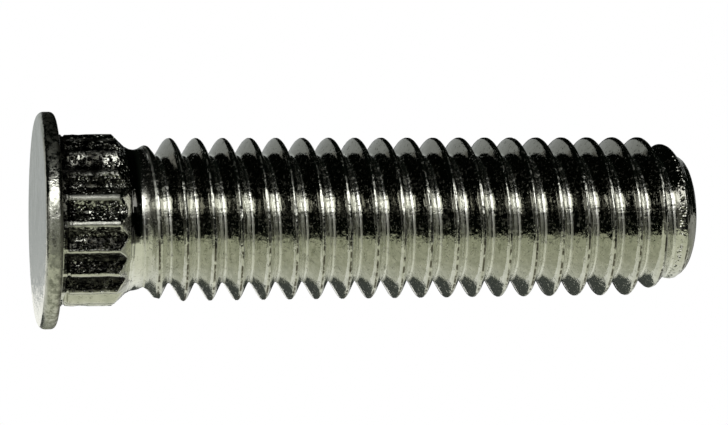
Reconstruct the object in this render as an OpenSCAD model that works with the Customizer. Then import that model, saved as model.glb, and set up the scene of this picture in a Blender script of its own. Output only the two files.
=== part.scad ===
// Self-clinching threaded stud: a thin round head, a fluted clinching shoulder,
// a short neck and a rolled right-hand thread with a chamfered point.
// It stands on the outer face of its head, with +Z along the shank towards the point.

/* [Length] */
// Length from the outer face of the head to the end of the point
stud_len = 19.7; // [14:0.1:40]

/* [Head] */
// Diameter of the head
head_d = 6.38; // [5.8:0.02:9]
// Thickness of the head
head_t = 0.49; // [0.4:0.01:1]
// Radius of the edge round the head's outer face
head_face_r = 0.2; // [0.05:0.01:0.24]
// Radius of the edge behind the head
head_back_r = 0.1; // [0.05:0.01:0.15]

/* [Clinching shoulder] */
// Diameter over the ribs
rib_d = 5.06; // [4.9:0.02:5.6]
// Length of the ribs at full height
rib_len = 1.68; // [1:0.02:3]
// Number of ribs
rib_count = 20; // [12:1:24]
// Width of each rib at its tip
rib_tip_w = 0.12; // [0.06:0.01:0.3]
// Depth of the flutes below the tips on either side
flute_depth = 0.2; // [0.1:0.01:0.26]
// Width of the flat bottom of the flutes
flute_floor_w = 0.1; // [0.04:0.01:0.16]
// Turn of the first rib round the shank
rib_turn = 2.6; // [0:0.1:30]
// Length of the plain collar between the head and the flutes
collar_len = 0.14; // [0.1:0.01:0.5]

/* [Neck] */
// Diameter of the plain neck, the blank that the thread is rolled on
neck_d = 4.29; // [4.1:0.01:4.5]
// Length over which the crests grow from the neck to their full height
runout_len = 1.35; // [0.8:0.05:2.4]
// Length over which the roots sink to their full depth
root_fade_len = 0.9; // [0.5:0.05:1.6]

/* [Thread] */
// Diameter over the crests
major_d = 4.83; // [4.7:0.01:4.95]
// Diameter at the roots
minor_d = 3.8; // [3.7:0.01:4.05]
// Rise of the thread in one turn
pitch = 0.8; // [0.5:0.05:1]
// Flat at the top of each crest
crest_flat = 0.07; // [0.02:0.005:0.1]
// Width of the eased edge beside that flat
crest_edge_w = 0.06; // [0.02:0.005:0.08]
// Drop of the eased edge beside that flat
crest_edge_h = 0.05; // [0.01:0.005:0.08]
// Width of the root
root_flat = 0.09; // [0.02:0.005:0.12]
// Offset of the root from the middle between two crests
root_shift = -0.03; // [-0.05:0.005:0.05]
// Turn of the thread round the shank
thread_turn = 127.6; // [0:0.1:360]

/* [Point] */
// Length of the chamfer
point_len = 1.33; // [0.8:0.01:2.4]
// Diameter that the chamfer runs down to
point_d = 3.67; // [2.8:0.01:3.75]
// Radius of the edge round the end face
point_round = 0.4; // [0.2:0.01:0.6]

/* [Smoothness] */
// Facets round the thread
thread_sides = 40; // [24:1:44]
// Rings across the rounded edge of the point
round_rings = 4; // [2:1:6]

/* [Hidden] */
$fn = 96;

// Radii and heights that follow from the sizes above
head_r = head_d / 2;
rib_r = rib_d / 2;
neck_r = neck_d / 2;
major_r = major_d / 2;
minor_r = minor_d / 2;
point_r = point_d / 2;
chamfer_z = head_t + rib_len;
neck_z = chamfer_z + rib_r - neck_r;
round_z = stud_len - point_round;

// Half the width of a flute between the edges of two tips, and the chord's distance from the axis
flute_angle = 180 / rib_count - asin(rib_tip_w / rib_d);
flute_half = rib_r * sin(flute_angle);
flute_top = rib_r * cos(flute_angle);
flute_z = head_t + collar_len;

// The thread's section over one pitch, as [height, radius] from the middle of a crest
root_z = pitch / 2 + root_shift;
crest_half = crest_flat / 2;
crest_edge = crest_half + crest_edge_w;
edge_r = major_r - crest_edge_h;
section = [
    [crest_half, major_r],
    [crest_edge, edge_r],
    [root_z - root_flat / 2, minor_r],
    [root_z + root_flat / 2, minor_r],
    [pitch - crest_edge, edge_r],
    [pitch - crest_half, major_r],
    [pitch + crest_half, major_r]
];
section_rows = len(section) - 1;
// The section's rows stop this short of the plain ring at each end of the thread
row_gap = 0.02;
// The shank's first ring lies this far inside the edge of the neck
ring_inset = 0.004;
blank_r = neck_r - ring_inset;
// At the neck the roots start this far outside the blank
root_clear = 0.15;
root_lift = neck_r + root_clear - minor_r;

// Step from 0 to 1 with soft ends
function ease(t) = t <= 0 ? 0 : t >= 1 ? 1 : t * t * (3 - 2 * t);

// Remainder that is never negative
function wrap(a, m) = a - m * floor(a / m);

// Angle of column j round the shank
function column_angle(j) = 360 * j / thread_sides;

// Height of the middle of a crest at an angle
function crest_z(a) = pitch * (a + thread_turn) / 360;

// Height of row i of the section in column j
function row_z(i, j) = crest_z(column_angle(j)) + pitch * floor(i / section_rows)
    + section[wrap(i, section_rows)][0];

// Number of the first row above height z in column j
function row_above(z, j) =
    let(turn = floor((z - crest_z(column_angle(j)) - crest_half) / pitch), i0 = turn * section_rows)
    i0 + len([for (m = [0 : section_rows - 1]) if (row_z(i0 + m, j) <= z) m]);

// Radius of the full thread at a height and an angle
function thread_r(z, a) = lookup(crest_half + wrap(z - crest_z(a) - crest_half, pitch), section);

// Radius of the chamfered point
function point_cone_r(z) = point_r + (major_r - point_r) * (stud_len - z) / point_len;

// How far the rounded edge of the point draws in
function drawn_in(z) = z <= round_z ? 0
    : point_round - sqrt(max(0, point_round * point_round - (z - round_z) * (z - round_z)));

// Limit of the crests: a cone that leaves the neck, as the blank has too little metal there
function runout_cone_r(z) = blank_r + (major_r - blank_r) * min(1, (z - neck_z) / runout_len);

// Radius of the thread with its roots held up near the neck
function rising_r(z, a) = thread_r(z, a) + root_lift * (1 - ease((z - neck_z) / root_fade_len));

// Share of the thread's height that is left at the point, where the blank was chamfered
function point_share(z) = max(0, min(1, (point_cone_r(z) - minor_r) / (major_r - minor_r)));

// Radius of the thread with its crests lowered towards the point
function falling_r(z, a) = minor_r + (rising_r(z, a) - minor_r) * point_share(z);

// Radius of the shank at a height and an angle: thread, run-out and point
function shank_r(z, a) = min(falling_r(z, a), runout_cone_r(z), point_cone_r(z)) - drawn_in(z);

// Point on the shank's surface
function shank_point(z, a) = let(r = shank_r(z, a)) [r * cos(a), r * sin(a), z];

// Triangle and quad of point numbers, given anticlockwise from outside
function tri(a, b, c) = [[a, c, b]];
function quad(a, b, c, d) = [[a, c, b], [a, d, c]];

module clinch_stud() {
    color([0.72, 0.73, 0.69]) {
        head();
        shoulder();
        shank();
    }
}

// Thin head, rounded at both edges
module head() {
    rotate_extrude() {
        square([head_r - head_face_r, head_t]);
        translate([0, head_face_r]) square([head_r - head_back_r, head_t - head_face_r]);
        translate([0, head_face_r]) square([head_r, head_t - head_face_r - head_back_r]);
        translate([head_r - head_face_r, head_face_r]) circle(head_face_r);
        translate([head_r - head_back_r, head_t - head_back_r]) circle(head_back_r);
    }
}

// Shoulder with a ring of ribs between a plain collar and the chamfer down to the neck
module shoulder() {
    difference() {
        rotate_extrude() polygon([
            [0, head_t], [rib_r, head_t], [rib_r, chamfer_z], [neck_r, neck_z], [0, neck_z]
        ]);
        for (k = [0 : rib_count - 1])
            rotate(rib_turn + 360 * (k + 0.5) / rib_count) translate([0, 0, flute_z])
                linear_extrude(neck_z) flute_section();
    }
}

// Section of one flute: two straight flanks on a narrow flat bottom
module flute_section() {
    floor_r = flute_top - flute_depth;
    floor_half = flute_floor_w / 2;
    clear_r = rib_r + flute_depth;
    polygon([
        [floor_r, -floor_half], [flute_top, -flute_half], [clear_r, -flute_half],
        [clear_r, flute_half], [flute_top, flute_half], [floor_r, floor_half]
    ]);
}

// Neck, thread and point as columns of points that climb with the thread
module shank() {
    low = [for (j = [0 : thread_sides - 1]) row_above(neck_z + row_gap, j)];
    high = [for (j = [0 : thread_sides - 1]) row_above(round_z - row_gap, j) - 1];
    ring_z = [for (q = [0 : round_rings]) round_z + point_round * sin(90 * q / round_rings)];
    columns = [for (j = [0 : thread_sides - 1]) let(a = column_angle(j)) [
        shank_point(neck_z, a),
        for (i = [low[j] : high[j]]) shank_point(row_z(i, j), a),
        for (z = ring_z) shank_point(z, a)
    ]];
    starts = [for (j = 0, s = 0; j < thread_sides; s = s + len(columns[j]), j = j + 1) s];
    polyhedron(
        points = [for (c = columns) each c],
        faces = [
            [for (j = [0 : thread_sides - 1]) starts[j]],
            [for (j = [thread_sides - 1 : -1 : 0]) starts[j] + len(columns[j]) - 1],
            for (j = [0 : thread_sides - 1]) each strip(j, low, high, starts)
        ]
    );
}

// Faces between column j and the next one, from the neck's ring to the end face
function strip(j, low, high, starts) =
    let(
        k = (j + 1) % thread_sides,
        turn = j == thread_sides - 1 ? section_rows : 0,
        left = starts[j],
        right = starts[k],
        entered = low[j] + turn - low[k],
        left_high = high[j] + turn > high[k] ? high[k] - turn : high[j],
        shared = left_high - low[j] + 1,
        left_over = high[j] - left_high,
        left_ring = left + high[j] - low[j] + 2,
        right_ring = right + high[k] - low[k] + 2
    )
    [
        for (q = [0 : 1 : entered]) each tri(left, right + q, right + q + 1),
        each tri(left, right + entered + 1, left + 1),
        for (m = [1 : 1 : shared - 1])
            each quad(left + m, right + m + entered, right + m + entered + 1, left + m + 1),
        for (q = [0 : 1 : left_over - 1])
            each tri(left + shared + q, right + shared + entered, left + shared + q + 1),
        each quad(left_ring - 1, right_ring - 1, right_ring, left_ring),
        for (q = [0 : round_rings - 1])
            each quad(left_ring + q, right_ring + q, right_ring + q + 1, left_ring + q + 1)
    ];

clinch_stud();
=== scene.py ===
import math

import bpy
from mathutils import Matrix, Vector


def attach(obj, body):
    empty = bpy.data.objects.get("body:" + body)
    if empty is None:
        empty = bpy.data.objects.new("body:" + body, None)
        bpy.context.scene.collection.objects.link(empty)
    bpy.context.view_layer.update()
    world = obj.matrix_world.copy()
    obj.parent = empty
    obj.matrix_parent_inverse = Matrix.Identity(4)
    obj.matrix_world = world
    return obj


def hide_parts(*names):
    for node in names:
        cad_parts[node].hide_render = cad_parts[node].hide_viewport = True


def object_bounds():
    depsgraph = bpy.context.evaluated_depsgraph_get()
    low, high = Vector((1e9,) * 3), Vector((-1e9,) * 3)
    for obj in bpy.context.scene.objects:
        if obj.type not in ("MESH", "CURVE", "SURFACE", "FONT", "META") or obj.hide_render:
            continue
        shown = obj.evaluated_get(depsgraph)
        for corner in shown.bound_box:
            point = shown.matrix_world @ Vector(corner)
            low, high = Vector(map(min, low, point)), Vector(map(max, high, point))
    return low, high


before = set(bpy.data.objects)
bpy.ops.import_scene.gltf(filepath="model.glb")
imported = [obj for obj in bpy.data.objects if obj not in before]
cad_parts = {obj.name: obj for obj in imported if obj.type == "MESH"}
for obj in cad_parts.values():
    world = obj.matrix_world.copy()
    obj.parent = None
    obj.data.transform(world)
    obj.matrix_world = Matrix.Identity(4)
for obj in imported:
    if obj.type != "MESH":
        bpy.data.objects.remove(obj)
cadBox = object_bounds()
print("frame loaded, CAD box", [tuple(round(c, 5) for c in corner) for corner in cadBox])

mm = 0.001


class Wire:
    # One socket of a node tree: arithmetic on it adds Math nodes, node() adds any other node.
    def __init__(self, tree, socket=None):
        self.tree = tree
        self.socket = socket

    def node(self, kind, settings=None, inputs=None, output=0):
        made = self.tree.nodes.new(kind)
        for name, value in (settings or {}).items():
            if name == "curve":
                mapping = made.mapping
                points = mapping.curves[0].points
                while len(points) < len(value):
                    points.new(0.5, 0.5)
                for point, (x, y) in zip(points, value):
                    point.location = (x, y)
                    point.handle_type = "VECTOR"
                mapping.update()
            else:
                setattr(made, name, value)
        for name, value in (inputs or {}).items():
            if isinstance(value, Wire):
                self.tree.links.new(value.socket, made.inputs[name])
            else:
                made.inputs[name].default_value = value
        return Wire(self.tree, made.outputs[output] if made.outputs else None)

    def out(self, name):
        return Wire(self.tree, self.socket.node.outputs[name])

    def math(self, operation, *others):
        inputs = {i + 1: other for i, other in enumerate(others)}
        return self.node("ShaderNodeMath", {"operation": operation}, {0: self, **inputs})

    def __add__(self, other):
        return self.math("ADD", other)

    def __radd__(self, other):
        return self.math("ADD", other)

    def __sub__(self, other):
        return self.math("SUBTRACT", other)

    def __rsub__(self, other):
        return self.node("ShaderNodeMath", {"operation": "SUBTRACT"}, {0: other, 1: self})

    def __mul__(self, other):
        return self.math("MULTIPLY", other)

    def __rmul__(self, other):
        return self.math("MULTIPLY", other)

    def __truediv__(self, other):
        return self.math("DIVIDE", other)

    def __rtruediv__(self, other):
        return self.node("ShaderNodeMath", {"operation": "DIVIDE"}, {0: other, 1: self})

    def between(self, start, end):
        # 0 at start, 1 at end, straight in between and held beyond; end may be the lower one
        return self.node("ShaderNodeMapRange", {"clamp": True},
                         {"Value": self, "From Min": start, "From Max": end})

    def eased(self, start, end):
        return self.node("ShaderNodeMapRange", {"interpolation_type": "SMOOTHSTEP"},
                         {"Value": self, "From Min": start, "From Max": end})


# Sizes of the stud in metres; its length and head width are taken from the frame.
stud = {
    "headRadius": min(-cadBox[0].x, cadBox[1].x, -cadBox[0].y, cadBox[1].y),
    "headThickness": 0.49 * mm,
    "faceEdge": 0.2 * mm,           # radius of the edge round the head's face
    "backEdge": 0.14 * mm,          # radius of the edge behind the head
    "ribRadius": 2.53 * mm,
    "ribLength": 1.68 * mm,
    "ribCount": 20,
    "ribTip": 0.12 * mm,            # width of a rib at its tip
    "fluteDepth": 0.2 * mm,
    "fluteFloor": 0.1 * mm,         # width of the flat at the bottom
    "fluteRunIn": 0.08 * mm,        # length over which the flutes start
    "fluteEase": 0.03 * mm,         # rounding at the sides of that flat
    "ribEase": 0.02 * mm,           # rounding at the edges of the ribs
    "ribTurn": 2.6,                 # degrees
    "collarLength": 0.14 * mm,      # plain collar between the head and the flutes
    "neckRadius": 2.12 * mm,
    "neckFillet": 0.13 * mm,        # how far the fillet reaches either way from the neck's edge
    "runOut": 1.35 * mm,            # length over which crests reach full height
    "blankRise": 0.02 * mm,         # how far the first crest may stand over the neck
    "crestEase": 0.015 * mm,        # rounding where the first crests are held down
    "rootLift": 0.24 * mm,          # how far roots are held up where the thread starts
    "rootLiftEnd": 0.9 * mm,        # where that ends, beyond the neck's edge
    "startBegin": 0.1 * mm,         # where the thread's height begins, beyond the neck's edge
    "startEnd": 1.1 * mm,           # where it is full, beyond the neck's edge
    "majorRadius": 2.414 * mm,
    "minorRadius": 1.88 * mm,
    "pitch": 0.8 * mm,
    "threadTurn": 127.6,            # degrees
    "pointLength": 1.33 * mm,
    "pointRadius": 1.835 * mm,
    "pointRound": 0.4 * mm,
    "pointEase": 0.03 * mm,         # rounding where the chamfer cuts the crests
    "pointLean": 0.09 * mm,         # how far the chamfer is out of true
    "length": cadBox[1].z - 0.001 * mm,
    "seamDepth": 0.022 * mm,        # fold along the crests
    "crestNick": 0.012 * mm,        # nicks beside the fold
    "ribDent": 0.035 * mm,
    "ribWaver": 0.05 * mm,          # how far the flanks of the ribs wander
    "ribNick": 0.07 * mm,           # nicks in the ribs just above the collar
    "ribNickHeight": 0.25 * mm,     # above the head
    "ribNickReach": 0.07 * mm,      # how far a nick reaches either way along a rib
    "columnsPerRib": 10,
    "seed": 4.0,
}

# Thread over one pitch from one crest's middle to the next: place, and height from root to crest
threadSection = [
    (0, 1), (0.03, 0.993), (0.065, 0.955), (0.105, 0.882), (0.15, 0.772), (0.33, 0.241),
    (0.395, 0.062), (0.415, 0.015), (0.462, 0), (0.508, 0.012), (0.53, 0.046), (0.68, 0.408),
    (0.84, 0.8), (0.89, 0.902), (0.93, 0.958), (0.97, 0.993), (1, 1)]

# Random patterns of the wear: scale, detail and shift of the seed
wear = {
    "openSeam": (2.6, 3.0, 0.0),
    "crestNicks": (3.3, 2.0, 5.0),
    "ribWaver": (1.3, 2.0, 12.0),
    "ribNicks": (1.7, 1.0, 15.0),
    "ribDents": (2.2, 4.0, 9.0),
}


def studTree():
    # A grid of rows and columns is wrapped round the axis. Rows run out over the head, up the
    # shoulder and then climb with the thread, held between the neck and the rounded point.
    tree = bpy.data.node_groups.new("studSurface", "GeometryNodeTree")
    tree.interface.new_socket("Geometry", in_out="OUTPUT", socket_type="NodeSocketGeometry")
    for name, value in stud.items():
        kind = "NodeSocketInt" if isinstance(value, int) else "NodeSocketFloat"
        tree.interface.new_socket(name, in_out="INPUT", socket_type=kind)
    tree.interface.new_socket("material", in_out="INPUT", socket_type="NodeSocketMaterial")
    start = Wire(tree)
    given = start.node("NodeGroupInput")
    size = {name: given.out(name) for name in stud}

    # Rows of the parts below the thread: count, rise, reach and how the step bends
    chamfer = size["ribRadius"] - size["neckRadius"]
    lower = [
        (9, 0.0, size["headRadius"] - size["faceEdge"], "straight"),
        (8, size["faceEdge"], size["faceEdge"], "outThenUp"),
        (5, size["headThickness"] - size["faceEdge"] - size["backEdge"], 0.0, "straight"),
        (6, size["backEdge"], size["backEdge"] * -1, "upThenIn"),
        (5, 0.0, size["ribRadius"] - size["headRadius"] + size["backEdge"], "straight"),
        (3, size["collarLength"], 0.0, "straight"),
        (5, size["fluteRunIn"], 0.0, "straight"),
        (34, size["ribLength"] - size["collarLength"] - size["fluteRunIn"], 0.0, "straight"),
        (16, chamfer, chamfer * -1, "straight"),
    ]
    lowerRows = sum(part[0] for part in lower)
    shoulderRows = sum(part[0] for part in lower[-4:])
    chamferRows = lower[-1][0]
    roundRows, endRows = 8, 6
    rowsPerTurn = len(threadSection) - 1

    neckHeight = size["headThickness"] + size["ribLength"] + chamfer
    roundHeight = size["length"] - size["pointRound"]
    crestTurn = (size["ribTurn"] + size["threadTurn"]) / 360
    firstTurn = (neckHeight / size["pitch"] - crestTurn).math("FLOOR") + (crestTurn - 1)
    threadTurns = (roundHeight / size["pitch"] - firstTurn).math("CEIL") + 1
    threadRows = threadTurns * rowsPerTurn
    columns = size["ribCount"] * size["columnsPerRib"]
    rows = threadRows + (lowerRows + roundRows + endRows)

    grid = start.node("GeometryNodeMeshGrid", None, {
        "Size X": columns, "Size Y": rows, "Vertices X": columns + 1, "Vertices Y": rows + 1})
    place = start.node("ShaderNodeSeparateXYZ", None,
                       {"Vector": start.node("GeometryNodeInputPosition")})
    column = place + columns / 2
    row = place.out("Y") + rows / 2

    # Columns crowd at the ribs' tips and the flutes' bottoms and stand even along the thread
    inShoulder = row.between(lowerRows - shoulderRows, lowerRows - shoulderRows + 1)
    crowding = inShoulder * (1 - row.between(lowerRows - chamferRows, lowerRows))
    ribPhase = column / size["columnsPerRib"]
    ribPhase = ribPhase - (ribPhase * math.tau * 2).math("SINE") * (crowding * (0.25 / math.tau))
    turn = ribPhase / size["ribCount"]
    angle = (turn + size["ribTurn"] / 360) * math.tau

    # Height and reach along the lower outline
    height = reach = row * 0
    first = 0
    for count, rise, out, bend in lower:
        q = row.between(first, first + count)
        quarter = q * (math.pi / 2)
        up, over = {
            "straight": (q, q),
            "outThenUp": (1 - quarter.math("COSINE"), quarter.math("SINE")),
            "upThenIn": (quarter.math("SINE"), 1 - quarter.math("COSINE")),
        }[bend]
        height = height + up * rise
        reach = reach + over * out
        first += count

    # Rows of the thread lie at the places of its section
    climbRow = (row - lowerRows).math("MAXIMUM", 0.0) / rowsPerTurn
    rowPlaces = [(i / rowsPerTurn, s) for i, (s, v) in enumerate(threadSection)]
    placed = start.node("ShaderNodeFloatCurve", {"curve": rowPlaces},
                        {"Value": climbRow.math("FRACT")})
    climbed = (climbRow.math("FLOOR") + placed + turn + firstTurn) * size["pitch"]
    climb = (climbed - neckHeight).math("MAXIMUM", 0.0).math("MINIMUM", roundHeight - neckHeight)
    isThread = row.between(lowerRows, lowerRows + 1)
    roundStart = threadRows + lowerRows
    pointTurn = row.between(roundStart, roundStart + roundRows) * (math.pi / 2)
    height = height + climb * isThread + pointTurn.math("SINE") * size["pointRound"]

    # Thread: its roots fade in and its crests are held under a cone that leaves the neck
    phase = height / size["pitch"] - turn - crestTurn
    section = start.node("ShaderNodeFloatCurve", {"curve": threadSection},
                         {"Value": phase.math("FRACT")})
    fromNeck = height - neckHeight
    share = fromNeck.eased(size["startBegin"], size["startEnd"])
    full = size["minorRadius"] + section * share * (size["majorRadius"] - size["minorRadius"])
    lift = (1 - fromNeck.between(0.0, size["rootLiftEnd"])) * size["rootLift"]
    held = (fromNeck / size["runOut"]).math("MINIMUM", 1.0).math("MAXIMUM", 0.0)
    held = held.math("POWER", 1.3) * (size["majorRadius"] - size["neckRadius"])
    crestLimit = size["neckRadius"] + size["blankRise"] + held
    toEnd = (size["length"] - height) / size["pointLength"]
    cone = size["pointRadius"] + toEnd * (size["majorRadius"] - size["pointRadius"])
    cone = cone - angle.math("COSINE") * toEnd.between(0.0, 0.4) * size["pointLean"]
    left = cone.between(size["minorRadius"], size["majorRadius"])
    shank = size["minorRadius"] + (full + lift - size["minorRadius"]) * left
    shank = shank.math("SMOOTH_MIN", crestLimit, size["crestEase"])
    shank = shank.math("SMOOTH_MIN", cone, size["pointEase"])

    # Wear: a broken fold along the crests, nicks beside it and dents in the ribs. Its patterns
    # lie on a cylinder that is about as wide as the thread.
    cylinder = 2.4
    around = start.node("ShaderNodeCombineXYZ", None, {
        "X": angle.math("COSINE") * cylinder, "Y": angle.math("SINE") * cylinder,
        "Z": height / mm})

    def noise(name):
        scale, detail, shift = wear[name]
        return start.node("ShaderNodeTexNoise", {"noise_dimensions": "4D"}, {
            "Vector": around, "W": size["seed"] + shift, "Scale": scale, "Detail": detail})

    toCrest = 0.5 - (phase.math("FRACT") - 0.5).math("ABSOLUTE")    # in pitches
    seam = (1 - toCrest.between(0.0, 0.028)) * noise("openSeam").eased(0.42, 0.56)
    nick = (1 - toCrest.between(0.02, 0.14)) * noise("crestNicks").eased(0.5, 0.75)
    threadWear = seam * size["seamDepth"] + nick * size["crestNick"]
    threadWear = threadWear * fromNeck.between(0.2 * mm, 0.6 * mm)     # none at the start
    toFillet = (size["neckFillet"] - fromNeck.math("ABSOLUTE")).math("MAXIMUM", 0.0)
    fillet = toFillet * toFillet / (size["neckFillet"] * 4)
    radius = reach + (shank - size["neckRadius"] - threadWear) * isThread + fillet
    radius = radius - (1 - pointTurn.math("COSINE")) * size["pointRound"]

    # Flutes with straight flanks and a narrow bottom, from the collar out through the chamfer
    halfTurn = math.pi / size["ribCount"] - (size["ribTip"] / size["ribRadius"] / 2)
    half = size["ribRadius"] * halfTurn.math("SINE")
    floorRadius = size["ribRadius"] * halfTurn.math("COSINE") - size["fluteDepth"]
    floorHalf = size["fluteFloor"] / 2
    slope = size["fluteDepth"] / (half - floorHalf)
    toFlute = ((ribPhase.math("FRACT") - 0.5) / size["ribCount"] * math.tau).math("ABSOLUTE")
    flank = (floorRadius - floorHalf * slope) / (
        toFlute.math("COSINE") - toFlute.math("SINE") * slope)
    cut = (floorRadius / toFlute.math("COSINE")).math("SMOOTH_MAX", flank, size["fluteEase"])
    cut = cut + (noise("ribWaver") - 0.5) * size["ribWaver"]
    clear = size["ribRadius"] + size["ribEase"]
    fluteStart = size["headThickness"] + size["collarLength"]
    cut = clear + (cut - clear) * height.eased(fluteStart, fluteStart + size["fluteRunIn"])
    cut = cut + (1 - inShoulder + isThread) * (2 * mm)      # out of reach elsewhere
    radius = radius.math("SMOOTH_MIN", cut, size["ribEase"])
    toNick = (height - size["headThickness"] - size["ribNickHeight"]).math("ABSOLUTE")
    nicked = (1 - toNick.eased(0.0, size["ribNickReach"])) * noise("ribNicks").eased(0.45, 0.55)
    radius = radius - nicked * inShoulder * size["ribNick"]
    dented = noise("ribDents").eased(0.42, 0.8)
    radius = radius - dented * inShoulder * (1 - isThread) * size["ribDent"]

    # The last rows close the end face
    radius = radius * (1 - row.between(rows - endRows, rows))
    position = start.node("ShaderNodeCombineXYZ", None, {
        "X": radius * angle.math("COSINE"), "Y": radius * angle.math("SINE"), "Z": height})
    surface = start.node("GeometryNodeSetPosition", None, {"Geometry": grid, "Position": position})
    surface = start.node("GeometryNodeMergeByDistance", None,
                         {"Geometry": surface, "Distance": 0.0005 * mm})
    surface = start.node("GeometryNodeSetShadeSmooth", None, {"Geometry": surface})
    surface = start.node("GeometryNodeRealizeInstances", None, {"Geometry": surface})
    surface = start.node("GeometryNodeSetMaterial", None,
                         {"Geometry": surface, "Material": given.out("material")})
    start.node("NodeGroupOutput", None, {"Geometry": surface})
    return tree


def makeStud(material):
    tree = studTree()
    source = bpy.data.objects.new("studSource", bpy.data.meshes.new("studSource"))
    bpy.context.collection.objects.link(source)
    modifier = source.modifiers.new("surface", "NODES")
    modifier.node_group = tree
    for item in tree.interface.items_tree:
        if item.in_out == "INPUT":
            value = material if item.name == "material" else stud[item.name]
            modifier[item.identifier] = value
    evaluated = source.evaluated_get(bpy.context.evaluated_depsgraph_get())
    mesh = bpy.data.meshes.new_from_object(evaluated)
    bpy.data.objects.remove(source)
    piece = bpy.data.objects.new("studBody", mesh)
    bpy.context.collection.objects.link(piece)
    print("stud surface", len(mesh.vertices), "points", len(mesh.polygons), "faces")
    return piece


# Finish of the plated steel. Heights are in mm and roughnesses add up. Sides are places round
# the stud, from -1 at the picture's top to 1 at its bottom; each pair runs from none to full.
finish = {
    "rolledHeight": 0.03,           # rolling marks along the thread
    "fleckHeight": 0.011,           # flecks between them
    "grainHeight": 0.003,
    "dentHeight": 0.024,            # dents, fewer on the neck and the face
    "faceDentHeight": 0.03,         # larger dents of the head's face
    "pitHeight": 0.005,
    "spangleHeight": 0.06,          # in the painted shade and along the burr at the point
    "wornRough": 0.04,
    "speckRough": 0.42,
    "crestRough": 0.32,
    "rootRough": 0.2,
    "rootRoughBelow": 0.22,
    "chafedRough": 0.18,            # first turn of the thread
    "ridgeRough": 0.26,             # ridges between the flutes
    "ridgeRoughAbove": 0.5,
    "paintedShadeRough": 0.06,
    "shadeMottleRough": 0.2,
    "faceRough": 0.06,
    "rimRough": 0.1,
    "rimRoughDirt": 0.38,
    "paintedShadeSide": (-0.3, -0.36),      # all of the shoulder has painted shade above this
    "collarShadeSide": (0.15, 0.0),
    "neckShadeSide": (0.33, 0.3),       # the neck has painted shade above this
    "unshadedSide": (0.81, 0.85),      # flutes have no painted shade below this
    "bright": (0.72, 0.72, 0.67, 1.0),
    "dull": (0.53, 0.54, 0.49, 1.0),
    "paintedSheenColour": (0.95, 0.95, 0.92, 1.0),
    "grime": (0.34, 0.35, 0.30, 1.0),
    "paintedShadeColour": (0.012, 0.012, 0.011, 1.0),
    "rustAndShadeColour": (0.08, 0.07, 0.05, 1.0),
    "shadeMottleColour": (0.07, 0.07, 0.06, 1.0),
}

# Random patterns of the finish: size in mm, detail, seed and roughness of the pattern
patterns = {
    "rolled": (0.44, 1.0, 0.0, 0.35),
    "flecks": (0.13, 1.0, 20.0, 0.4),
    "grain": (0.06, 2.0, 3.0, 0.6),
    "dents": (0.2, 3.0, 4.0, 0.5),
    "faceDents": (0.6, 3.0, 21.0, 0.5),
    "worn": (0.22, 5.0, 9.0, 0.6),
    "specks": (0.1, 3.0, 14.0, 0.7),
    "crestPatches": (0.2, 4.0, 11.0, 0.5),
    "paintedShadeEdge": (0.3, 3.0, 13.0, 0.5),
    "mottleInShade": (0.2, 4.0, 16.0, 0.5),
    "sparks": (0.08, 3.0, 8.0, 0.65),
    "sparkClusters": (0.7, 2.0, 15.0, 0.5),
    "rimDirtOffHighlight": (0.17, 5.0, 18.0, 0.75),
    "faceStains": (0.7, 5.0, 19.0, 0.6),
}

# Round pits: size of a cell in mm, reach of a pit, share of the cells that have one, and seed
pitPatterns = {
    "pits": (0.08, 0.5, 0.35, 6.0),
    "spangle": (0.1, 0.7, 0.9, 7.0),
}


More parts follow.
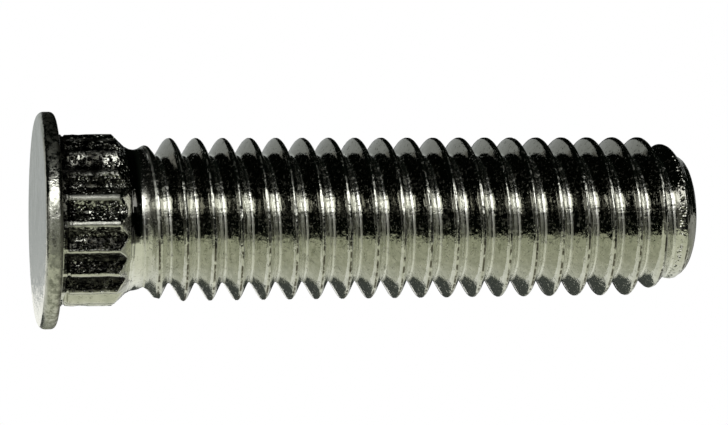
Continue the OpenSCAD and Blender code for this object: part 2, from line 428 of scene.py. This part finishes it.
def platedSteel():
    material = bpy.data.materials.new("platedSteel")
    material.use_nodes = True
    material.node_tree.nodes.clear()
    start = Wire(material.node_tree)
    place = start.node("ShaderNodeTexCoord").out("Object")
    place = start.node("ShaderNodeVectorMath", {"operation": "SCALE"}, {0: place, "Scale": 1 / mm})
    x = start.node("ShaderNodeSeparateXYZ", None, {"Vector": place})
    y, z = x.out("Y"), x.out("Z")
    radius = (x * x + y * y).math("SQRT")

    def noise(name, vector=place, shift=0.0):
        size, detail, seed, rough = patterns[name]
        return start.node("ShaderNodeTexNoise", {"noise_dimensions": "4D"}, {
            "Vector": vector, "W": shift + seed, "Scale": 1 / size, "Detail": detail,
            "Roughness": rough})

    def pits(name):
        size, reach, share, seed = pitPatterns[name]
        cell = start.node("ShaderNodeTexVoronoi", {"voronoi_dimensions": "4D"}, {
            "Vector": place, "W": seed, "Scale": 1 / size})
        chosen = start.node("ShaderNodeSeparateColor", None, {"Color": cell.out("Color")})
        return (1 - cell.eased(0.0, reach)) * chosen.math("LESS_THAN", share)

    def mix(factor, low, high):
        return start.node("ShaderNodeMix", {"data_type": "RGBA"}, {0: factor, 6: low, 7: high}, 2)

    # Where the parts are: mm above the head's face, past an edge or short of the end
    fromHead = z - stud["headThickness"] / mm
    fromRibs = fromHead - stud["ribLength"] / mm
    fromNeck = fromRibs - (stud["ribRadius"] - stud["neckRadius"]) / mm
    toEnd = stud["length"] / mm - z
    side = x / radius
    face = z.between(0.12, 0.02)
    rim = fromHead.between(0.01, -0.03)
    ribs = fromHead.between(0.06, 0.09)
    thread = fromNeck.between(0.27, 0.42) * toEnd.between(0.02, 0.1)
    neck = fromNeck.between(-0.1, -0.06) * (1 - thread)
    chafed = fromNeck.between(0.17, 0.32) * fromNeck.between(0.87, 0.67)
    burr = toEnd.between(0.46, 0.54) * toEnd.between(0.68, 0.62)

    # Across the thread: 1 on a crest and -1 in a root, with a quarter turn between the two
    angle = y.math("ARCTAN2", x)
    turned = z * (math.tau * mm / stud["pitch"]) - angle - math.radians(stud["threadTurn"])
    across, along = turned.math("COSINE"), turned.math("SINE")
    crest = across.between(0.965, 0.99) * thread
    root = across.between(-0.95, -0.98) * thread
    before = along.between(-0.2, -0.5) * thread         # flanks that face the head
    fold = across.between(0.955, 0.985) * thread * side.between(0.1, 0.3)

    # Depth of the flutes' flanks and floor under the ribs' tips and the cone of the chamfer
    ribRadius = stud["ribRadius"] / mm
    halfTurn = math.pi / stud["ribCount"] - stud["ribTip"] / stud["ribRadius"] / 2
    floorHalf = stud["fluteFloor"] / mm / 2
    floorRadius = ribRadius * math.cos(halfTurn) - stud["fluteDepth"] / mm
    slope = stud["fluteDepth"] / mm / (ribRadius * math.sin(halfTurn) - floorHalf)
    ribTurns = (angle - math.radians(stud["ribTurn"])) * (stud["ribCount"] / math.tau)
    toFlute = (ribTurns.math("FRACT") - 0.5).math("ABSOLUTE") * (math.tau / stud["ribCount"])
    flank = (floorRadius - floorHalf * slope) / (
        toFlute.math("COSINE") - toFlute.math("SINE") * slope)
    depth = (ribRadius - fromRibs).math("MINIMUM", ribRadius) - flank.math("MAXIMUM", floorRadius)
    depth = depth + (noise("paintedShadeEdge") - 0.5) * 0.06 - side.between(0.2, 0.0) * 0.035
    flute = depth.between(-0.02, 0.005) * ribs * fromNeck.between(-0.12, -0.14)
    ridge = (1 - flute) * ribs * fromRibs.between(0.02, -0.02)

    # Painted shade, a near-black colour, fills the flutes; above it lies over the ridges too, and
    # on the collar's upper side
    above = side.between(*finish["paintedShadeSide"]) * ribs * fromNeck.between(-0.02, -0.08)
    collar = rim.math("LESS_THAN", 0.5) * fromHead.between(0.17, 0.13)
    collar = collar * side.between(*finish["collarShadeSide"])
    paintedShadeArea = flute.math("MAXIMUM", above).math("MAXIMUM", collar)
    paintedShadeArea = paintedShadeArea * (1 - side.between(*finish["unshadedSide"]))
    # Painted shade on the neck's upper side, next to the shoulder
    neckShadeArea = neck * fromNeck.between(0.26, 0.16) * side.between(*finish["neckShadeSide"])
    sparks = (noise("sparks") - (side + 0.5) * 0.085).eased(0.47, 0.53)
    sparks = sparks * noise("sparkClusters").between(0.39, 0.57) * fromHead.between(0.26, 0.51)
    mottleInShade = noise("mottleInShade").eased(0.45, 0.6)

    # Relief. Rolling marks follow the thread: a place in its section comes again once a turn.
    section = start.node("ShaderNodeCombineXYZ", None, {
        "X": across * 0.8, "Y": along * 0.8, "Z": x * 0.75})
    rolled = noise("rolled", section, y * 0.75 + z * 0.7)
    marks = thread * (1 - side.math("ABSOLUTE").between(0.78, 0.92) * 0.85) * (1 - before * 0.65)
    dented = (1 - thread) * (1 - neck * 0.7) * (1 - face * 0.65)
    height = rolled * marks * finish["rolledHeight"] + noise("grain") * finish["grainHeight"]
    height = height + noise("flecks") * marks * finish["fleckHeight"]
    height = height + noise("dents") * dented * finish["dentHeight"]
    height = height + noise("faceDents") * face * finish["faceDentHeight"]
    height = height - pits("pits") * finish["pitHeight"]
    height = height - pits("spangle") * paintedShadeArea.math("MAXIMUM", burr) * finish["spangleHeight"]
    bump = start.node("ShaderNodeBump", None, {"Height": height * mm, "Distance": 1.0})

    # Colour: worn plating, then grime, a painted highlight, painted shade and rust over it
    worn = noise("worn").between(0.3, 0.7)
    specks = noise("specks").eased(0.57, 0.63)
    crestPatches = noise("crestPatches").eased(0.42, 0.55)
    rimDirtOffHighlight = noise("rimDirtOffHighlight").eased(0.39, 0.59)
    # The rim's dirt is kept off a band at side -0.3, where its highlight falls: a painted
    # highlight
    rimDirtOffHighlight = rimDirtOffHighlight * (1 - (side + 0.3).math("ABSOLUTE").between(0.2, 0.06) * 0.85)
    # Colour of the painted shade, mottled
    paintedShadeColour = mix(mottleInShade, finish["paintedShadeColour"], finish["shadeMottleColour"])
    colour = mix(worn, finish["dull"], finish["bright"])
    # Painted highlight: the roots and the neck get a brighter colour
    colour = mix(root * 0.8 + neck * 0.5, colour, finish["paintedSheenColour"])
    colour = mix(rim * (1 - face) * (rimDirtOffHighlight * 0.8 + 0.1), colour, finish["grime"])
    # Painted shade: a dark band towards the rim's rounded back edge
    colour = mix(rim * fromHead.between(-0.15, -0.06) * 0.6, colour, finish["rustAndShadeColour"])
    colour = mix(face * noise("faceStains").between(0.4, 0.6) * 0.6, colour, finish["grime"])
    colour = mix(paintedShadeArea * (1 - sparks * 0.9), colour, paintedShadeColour)
    colour = mix(neckShadeArea * 0.9, colour, paintedShadeColour)
    # A dark line in the fold along the crests, on the lower side only, and dark rust specks
    foldLineAndSpecks = fold * crestPatches * 0.9 + specks * (0.35 - thread * 0.2)
    colour = mix(foldLineAndSpecks, colour, finish["rustAndShadeColour"])
    # Painted shade: the flanks that face the head are darker on the upper side
    colour = mix(before * side.between(0.1, -0.05) * 0.55, colour, finish["rustAndShadeColour"])

    # Roughness: a mirror where the plating is clean
    ridgeRough = finish["ridgeRoughAbove"] + side.between(-0.1, 0.2) * (
        finish["ridgeRough"] - finish["ridgeRoughAbove"])
    rootRough = finish["rootRough"] + side.between(-0.12, 0.03) * finish["rootRoughBelow"]
    rimRough = (rimDirtOffHighlight + side.between(-0.16, 0.0) * 0.5) * finish["rimRoughDirt"]
    rimRough = rimRough + finish["rimRough"]
    rough = worn * finish["wornRough"] + ridge * ridgeRough + root * rootRough
    rough = rough + crest * crestPatches.math("MAXIMUM", 0.4) * finish["crestRough"]
    rough = rough + chafed * finish["chafedRough"] + thread * specks * finish["speckRough"]
    rough = rough + rim * (rimRough + face * (finish["faceRough"] - rimRough))
    rough = rough + paintedShadeArea * (1 - ridge) * (1 - sparks) * (
        finish["paintedShadeRough"] + mottleInShade * finish["shadeMottleRough"])
    shader = start.node("ShaderNodeBsdfPrincipled", None, {
        "Base Color": colour, "Metallic": 1.0, "Roughness": rough, "Normal": bump})
    start.node("ShaderNodeOutputMaterial", None, {"Surface": shader})
    print("plated steel with", len(material.node_tree.nodes), "nodes")
    return material


steel = platedSteel()
body = makeStud(steel)
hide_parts("clinch_stud")
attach(body, "root")

# The stud stands in a dark tent with light cards in it. Angles round the stud start at the
# camera's side and grow towards the picture's lower edge; tilts are above the level of the head.
tent = {"radius": 0.6, "wallRadius": 0.66, "light": (0.002, 0.003, 0.002), "steps": 24}

# Each card has its two tilts, its left and right edge at both of them, and its light at each
# edge.
cards = {
    "cardBack": ((-35, 6), (-182, -182), (-133, -168), (0.42, 0.44, 0.43), (0.42, 0.44, 0.43)),
    "cardBackHigh": ((17, 40), (-178, -178), (-166, -168), (0.26, 0.27, 0.26), (0.26, 0.27, 0.26)),
    "cardBackTop": ((30, 66), (140, 147), (178, 178), (0.45, 0.45, 0.41), (0.22, 0.22, 0.20)),
    "cardFace": ((-20, 6), (170, 170), (178.7, 178.7), (1.04, 1.04, 0.98), (1.04, 1.04, 0.98)),
    "cardFaceEdge": (
        (-20, 6), (178.7, 178.7), (179.4, 179.4), (0.95, 0.95, 0.9), (0.45, 0.46, 0.45)),
    "cardUnder": ((-55, -20), (165, 165), (178, 178), (1.0, 1.0, 0.94), (0.8, 0.8, 0.76)),
    "cardUnderBack": ((-55, -35), (178, 178), (222, 222), (0.7, 0.7, 0.66), (0.2, 0.2, 0.18)),
    "cardDown": ((-90, -78), (-180, -180), (180, 180), (0.2, 0.2, 0.18), (0.2, 0.2, 0.18)),
    "cardStrip": ((-52, 10), (-36, -36), (-18, -18), (2.6, 2.6, 2.5), (2.6, 2.6, 2.5)),
    "cardStripTop": ((10, 27), (-36, -36), (-18, -18), (1.9, 1.9, 1.8), (1.9, 1.9, 1.8)),
    "cardStripLeft": ((-52, 20), (-44, -44), (-36, -36), (0.02, 0.02, 0.02), (2.2, 2.2, 2.1)),
    "cardStripRight": ((-52, 20), (-18, -18), (-8, -8), (2.0, 2.0, 1.9), (0.02, 0.02, 0.02)),
    "cardStripFoot": ((-78, -52), (-48, -40), (-12, -14), (0.5, 0.5, 0.45), (0.5, 0.5, 0.45)),
    "cardStripHead": ((44, 56), (-48, -48), (-14, -14), (0.08, 0.08, 0.07), (0.08, 0.08, 0.07)),
    "cardFront": ((-20, 20), (-8, -8), (37, 37), (0.015, 0.015, 0.013), (0.01, 0.01, 0.01)),
    "cardFrontLow": ((-60, -20), (-8, -8), (37, 37), (0.12, 0.12, 0.10), (0.09, 0.09, 0.075)),
    "cardTable": ((-65, 51), (37, 37), (90, 90), (0.58, 0.60, 0.45), (0.66, 0.67, 0.54)),
    "cardFar": ((-65, 51), (90, 90), (136, 136), (0.66, 0.67, 0.54), (0.85, 0.86, 0.78)),
    "cardTop": ((51, 66), (37, 30), (140, 147), (0.22, 0.23, 0.17), (0.3, 0.31, 0.25)),
    "cardPole": ((66, 90), (30, 30), (180, 180), (0.22, 0.22, 0.20), (0.35, 0.35, 0.32)),
    "cardPoleFront": ((80, 88), (-110, -110), (30, 30), (0.12, 0.12, 0.11), (0.2, 0.2, 0.18)),
    "cardShade": ((-27, 14.5), (136, 136), (170, 170), (0.08, 0.09, 0.08), (0.05, 0.055, 0.05)),
    "cardShadeHigh": ((14.5, 30), (136, 136), (172, 172), (0.8, 0.81, 0.74), (0.55, 0.56, 0.52)),
    "cardLow": ((-65, -27), (136, 136), (165, 165), (0.85, 0.86, 0.78), (0.7, 0.7, 0.65)),
}


def glowing():
    # Each card gives the light that its points hold
    material = bpy.data.materials.new("cardLight")
    material.use_nodes = True
    material.node_tree.nodes.clear()
    start = Wire(material.node_tree)
    light = start.node("ShaderNodeAttribute", {"attribute_name": "light"})
    glow = start.node("ShaderNodeEmission", None, {"Color": light, "Strength": 1.0})
    start.node("ShaderNodeOutputMaterial", None, {"Surface": glow})
    return material


def makeCard(name, distance, card, material, steps):
    (low, high), left, right, lightLeft, lightRight = card
    points, faces, lights = [], [], []
    for i in range(steps + 1):
        for j in range(steps + 1):
            p, q = i / steps, j / steps
            tilt = math.radians(low + (high - low) * q)
            start, end = left[0] + (left[1] - left[0]) * q, right[0] + (right[1] - right[0]) * q
            turn = math.radians(start + (end - start) * p)
            points.append((distance * math.cos(tilt) * math.sin(turn),
                           -distance * math.cos(tilt) * math.cos(turn),
                           distance * math.sin(tilt)))
            lights.append([a + (b - a) * p for a, b in zip(lightLeft, lightRight)])
            if i < steps and j < steps:
                corner = i * (steps + 1) + j
                faces.append((corner, corner + 1, corner + steps + 2, corner + steps + 1))
    mesh = bpy.data.meshes.new(name)
    mesh.from_pydata(points, [], faces)
    layer = mesh.attributes.new("light", "FLOAT_COLOR", "POINT")
    for point, light in zip(layer.data, lights):
        point.color = (*light, 1.0)
    mesh.materials.append(material)
    piece = bpy.data.objects.new(name, mesh)
    bpy.context.collection.objects.link(piece)
    piece.visible_camera = False
    piece.visible_diffuse = False
    piece.visible_shadow = False
    piece.visible_transmission = False


def makeTent():
    material = glowing()
    wall = ((-90, 90), (-180, -180), (180, 180), tent["light"], tent["light"])
    makeCard("tentWall", tent["wallRadius"], wall, material, tent["steps"] * 2)
    for name, card in cards.items():
        makeCard(name, tent["radius"], card, material, tent["steps"])
    print("tent with", len(cards), "cards")


makeTent()

floor = {"reach": 3.0, "level": -0.01 * mm, "colour": (0.86, 0.86, 0.86, 1.0)}


def makeFloor():
    # Pale floor, seen through from below, where the photograph's camera stands
    material = bpy.data.materials.new("paleFloor")
    material.use_nodes = True
    material.node_tree.nodes.clear()
    start = Wire(material.node_tree)
    pale = start.node("ShaderNodeBsdfDiffuse", None, {"Color": floor["colour"]})
    clear = start.node("ShaderNodeBsdfTransparent")
    below = start.node("ShaderNodeNewGeometry").out("Backfacing")
    mixed = start.node("ShaderNodeMixShader", None, {0: below, 1: pale, 2: clear})
    start.node("ShaderNodeOutputMaterial", None, {"Surface": mixed})
    reach, level = floor["reach"], floor["level"]
    mesh = bpy.data.meshes.new("floor")
    mesh.from_pydata([(-reach, -reach, level), (reach, -reach, level),
                      (reach, reach, level), (-reach, reach, level)], [], [(0, 1, 2, 3)])
    mesh.materials.append(material)
    piece = bpy.data.objects.new("floor", mesh)
    bpy.context.collection.objects.link(piece)
    piece.visible_glossy = False
    piece.visible_shadow = False
    piece.visible_diffuse = False
    print("floor laid")


# White studio, a little less bright on the stud than it looks, and one soft lamp above
studio = {
    "skyLight": 0.8,
    "skySeen": 1.0,
    "lampSize": 0.12,
    "lampPower": 0.12,
    "lampPlace": (0.0, 0.13, 0.16),
    "lampAim": (0.0, 0.0, 0.01),
}


def makeLights():
    world = bpy.data.worlds.new("studio")
    bpy.context.scene.world = world
    world.use_nodes = True
    world.node_tree.nodes.clear()
    start = Wire(world.node_tree)
    path = start.node("ShaderNodeLightPath")
    seen = path.out("Is Camera Ray").math("MAXIMUM", path.out("Is Glossy Ray"))
    seen = seen.math("MAXIMUM", path.out("Is Transmission Ray"))
    level = studio["skyLight"] + seen * (studio["skySeen"] - studio["skyLight"])
    sky = start.node("ShaderNodeBackground", None, {"Color": (1, 1, 1, 1), "Strength": level})
    start.node("ShaderNodeOutputWorld", None, {"Surface": sky})
    lamp = bpy.data.lights.new("softbox", "AREA")
    lamp.size = studio["lampSize"]
    lamp.energy = studio["lampPower"]
    source = bpy.data.objects.new("softbox", lamp)
    source.location = studio["lampPlace"]
    aim = Vector(studio["lampAim"]) - source.location
    source.rotation_euler = aim.to_track_quat("-Z", "Y").to_euler()
    source.visible_glossy = False
    bpy.context.collection.objects.link(source)
    print("studio lit")


makeFloor()
makeLights()

# The camera looks level at the stud from just below its head, turned so that the shank runs
# across the picture. Angles in degrees, pixels in the photograph's frame.
shot = {
    "lens": 136.69,
    "sensor": 36.0,
    "imageWidth": 728,
    "imageHeight": 425,
    "headPixel": (37.02, 220.62),
    "headDepth": 80.88 * mm,
    "tiltAway": 11.65,
    "tiltUp": 0.42,
    "clipStart": 1 * mm,
    "clipEnd": 10.0,
}


def makeCamera():
    data = bpy.data.cameras.new("photoCamera")
    data.lens = shot["lens"]
    data.sensor_width = shot["sensor"]
    data.clip_start = shot["clipStart"]
    data.clip_end = shot["clipEnd"]
    camera = bpy.data.objects.new("photoCamera", data)
    bpy.context.collection.objects.link(camera)
    away, up = math.radians(shot["tiltAway"]), math.radians(shot["tiltUp"])
    # In the camera's own axes (right, up, back): the shank, and the picture's downward side of it
    shank = Vector((math.cos(away) * math.cos(up), math.cos(away) * math.sin(up), -math.sin(away)))
    above = Vector((0, 1, 0))
    above = (above - shank * shank.dot(above)).normalized()
    axisX = -above
    axisY = shank.cross(axisX)
    turned = Matrix((axisX, axisY, shank))
    focal = shot["lens"] / shot["sensor"] * shot["imageWidth"]
    across = (shot["headPixel"][0] - shot["imageWidth"] / 2) / focal
    down = (shot["headPixel"][1] - shot["imageHeight"] / 2) / focal
    head = Vector((across, -down, -1)) * shot["headDepth"]
    camera.matrix_world = Matrix.Translation(turned @ -head) @ turned.to_4x4()
    bpy.context.scene.camera = camera
    print("camera placed")


makeCamera()
bpy.context.scene.view_settings.view_transform = "Standard"
